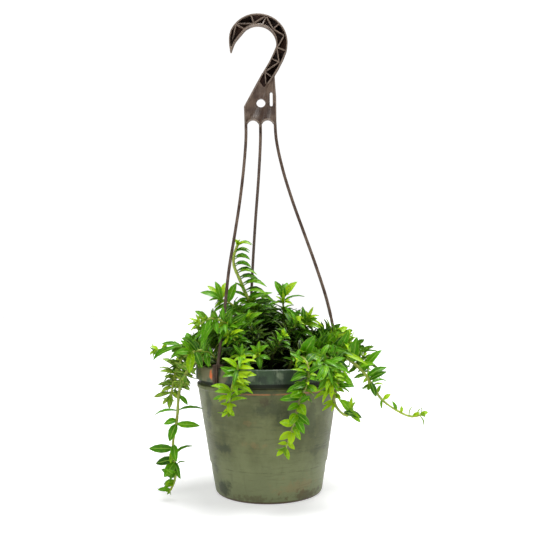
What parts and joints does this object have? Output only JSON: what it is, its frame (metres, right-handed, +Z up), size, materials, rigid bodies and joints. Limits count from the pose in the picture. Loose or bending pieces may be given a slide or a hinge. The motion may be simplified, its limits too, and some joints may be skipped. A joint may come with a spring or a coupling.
{
  "type": "potted lipstick plant",
  "caption": "Trailing plant with paired pointed leaves in a tapered plastic nursery pot, and a one-piece moulded hanger whose slim strands clip to the rim and meet in a ribbed hook",
  "frame": {"origin": "centre of the pot's base, on the surface that it stands on", "axes": "+Z up through the pot's axis to the hook, -Y towards the viewer of the picture, +X to the right"},
  "size_m": [0.322, 0.2342, 0.5639],
  "materials": {
    "pot_plastic": "satin olive green moulded plastic with dust, stains and water marks",
    "soil": "damp dark peat mix, matt and crumbly",
    "hanger_plastic": "satin brown moulded plastic with fine flow lines",
    "leaf": "waxy green leaf, lime at the growing tips, on green to reddish stems"
  },
  "bodies": {
    "root": {"pot": "pot_plastic", "soil": "soil", "hanger": "hanger_plastic", "stem_left_trailing": "leaf", "stem_left_tuft": "leaf", "stem_left_shoulder": "leaf", "stem_left_bright": "leaf", "stem_upper_left": "leaf", "stem_comb": "leaf", "stem_star": "leaf", "stem_bud": "leaf", "stem_right_high": "leaf", "stem_right_trailing": "leaf", "stem_right_cluster": "leaf", "stem_right_bare": "leaf", "stem_right_low": "leaf", "stem_front_right": "leaf", "stem_front_left": "leaf", "stem_centre_small": "leaf", "stem_front_large_leaf": "leaf", "stem_left_low": "leaf", "stem_mid_left": "leaf", "stem_mid": "leaf", "stem_mid_right": "leaf", "stem_inner": "leaf", "stem_front_mid": "leaf", "stem_back_a": "leaf", "stem_back_b": "leaf", "stem_back_c": "leaf", "stem_back_d": "leaf", "stem_back_e": "leaf", "stem_back_f": "leaf", "stem_back_g": "leaf", "stem_back_h": "leaf", "stem_back_i": "leaf", "stem_back_j": "leaf", "stem_back_k": "leaf"}
  },
  "joints": []
}
